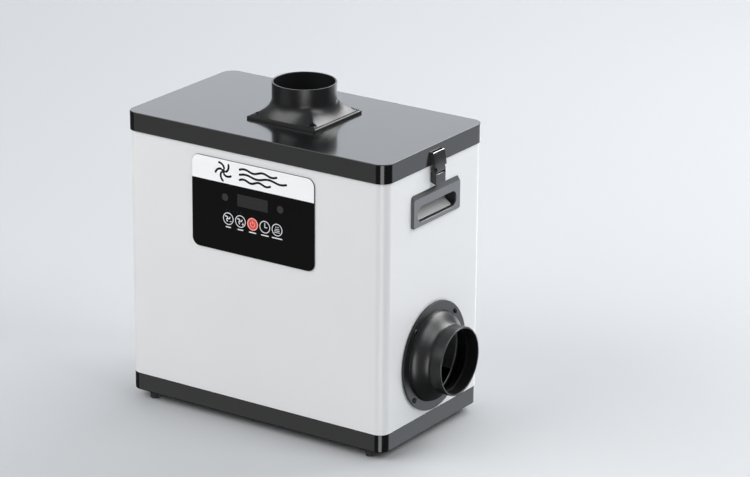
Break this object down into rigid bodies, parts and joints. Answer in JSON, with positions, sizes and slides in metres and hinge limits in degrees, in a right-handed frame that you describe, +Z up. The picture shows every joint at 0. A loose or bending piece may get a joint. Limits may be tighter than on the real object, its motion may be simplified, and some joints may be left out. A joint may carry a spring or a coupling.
{
  "type": "desktop fume extractor",
  "caption": "Box-shaped bench fume extractor: lift-off lid with round inlet collar, side latches and grips, stacked filters, and a fan driving air out of a flanged side collar.",
  "frame": {"origin": "on the floor, under the middle of the whole footprint, latches and side collar included", "axes": "+Z up; -Y faces the user, with the control panel; +X towards the side with the air outlet"},
  "size_m": [0.4576, 0.232, 0.448],
  "materials": {
    "white_paint": "satin, fine powder coat",
    "black_paint": "semi-gloss, charcoal black",
    "black_plastic": "satin moulded plastic",
    "grip_plastic": "satin moulded plastic, mid grey",
    "panel_film": "gloss printed overlay, black with a white band along its top",
    "rubber": "matte",
    "foam": "matte closed-cell foam",
    "zinc_steel": "zinc-plated sheet",
    "black_steel": "satin black over steel",
    "spring_steel": "bright spring steel",
    "die_cast": "as cast",
    "filter_media": "matte pleated media in a frame",
    "filter_carbon": "matte granular carbon in a frame",
    "filter_mat": "fluffy coarse fibre mat",
    "board": "solder-masked circuit board",
    "display": "dark glass-faced display module",
    "switch_red": "gloss red",
    "cable_sheath": "satin"
  },
  "bodies": {
    "cabinet": {"base_tray": "black_paint", "cabinet_shell": "white_paint", "filter_bay": "zinc_steel", "fan_deck": "zinc_steel", "fan_nozzle": "black_steel", "carbon_filter": "filter_carbon", "pleated_filter": "filter_media", "medium_filter": "filter_media", "coarse_mat": "filter_mat", "motor_stator": "die_cast", "motor_bracket": "zinc_steel", "outlet_adapter": "black_plastic", "outlet_gasket": "foam", "touch_panel": "panel_film", "control_board": "board", "display_module": "display", "service_plate": "black_paint", "mains_inlet": "black_plastic", "switch_frame": "black_plastic", "power_supply": "zinc_steel", "motor_cable": "cable_sheath", "mains_lead": "cable_sheath", "foot_front_left": "rubber", "foot_front_right": "rubber", "foot_back_left": "rubber", "foot_back_right": "rubber", "outlet_screw_1": "black_steel", "outlet_screw_2": "black_steel", "outlet_screw_3": "black_steel", "outlet_screw_4": "black_steel", "touch_spring_1": "spring_steel", "touch_spring_2": "spring_steel", "touch_spring_3": "spring_steel", "touch_spring_4": "spring_steel", "touch_spring_5": "spring_steel", "right_grip": "grip_plastic", "right_latch_bracket": "black_steel", "right_latch_pin": "spring_steel", "left_grip": "grip_plastic", "left_latch_bracket": "black_steel", "left_latch_pin": "spring_steel"},
    "lid": {"lid_pan": "black_paint", "lid_gasket": "foam", "inlet_adapter": "black_plastic", "inlet_screw_1": "black_steel", "inlet_screw_2": "black_steel", "inlet_screw_3": "black_steel", "inlet_screw_4": "black_steel", "right_latch_keeper": "black_steel", "left_latch_keeper": "black_steel"},
    "fan": {"fan_wheel": "black_plastic", "motor_rotor": "die_cast"},
    "right_latch": {"right_latch_lever": "black_steel", "right_latch_claw": "spring_steel"},
    "left_latch": {"left_latch_lever": "black_steel", "left_latch_claw": "spring_steel"},
    "rocker": {"power_rocker": "switch_red"}
  },
  "joints": [
    {"name": "lid_lift", "type": "slide", "parent": "cabinet", "child": "lid", "axis": [0, 0, 1], "range_m": [0, 0.12], "deforming": ["right_latch_claw", "left_latch_claw"]},
    {"name": "right_latch_swing", "type": "hinge", "parent": "cabinet", "child": "right_latch", "pos_m": [0.19185, 0, 0.367], "axis": [0, 1, 0], "range_deg": [0, 100], "deforming": ["right_latch_claw"]},
    {"name": "left_latch_swing", "type": "hinge", "parent": "cabinet", "child": "left_latch", "pos_m": [-0.22455, 0, 0.367], "axis": [0, -1, 0], "range_deg": [0, 100], "deforming": ["left_latch_claw"]},
    {"name": "fan_spin", "type": "hinge", "parent": "cabinet", "child": "fan", "pos_m": [-0.01635, 0.009, 0.092], "axis": [0, 0, 1], "continuous": true},
    {"name": "rocker_tilt", "type": "hinge", "parent": "cabinet", "child": "rocker", "pos_m": [-0.11535, 0.1123, 0.092], "axis": [1, 0, 0], "range_deg": [0, 18]}
  ]
}
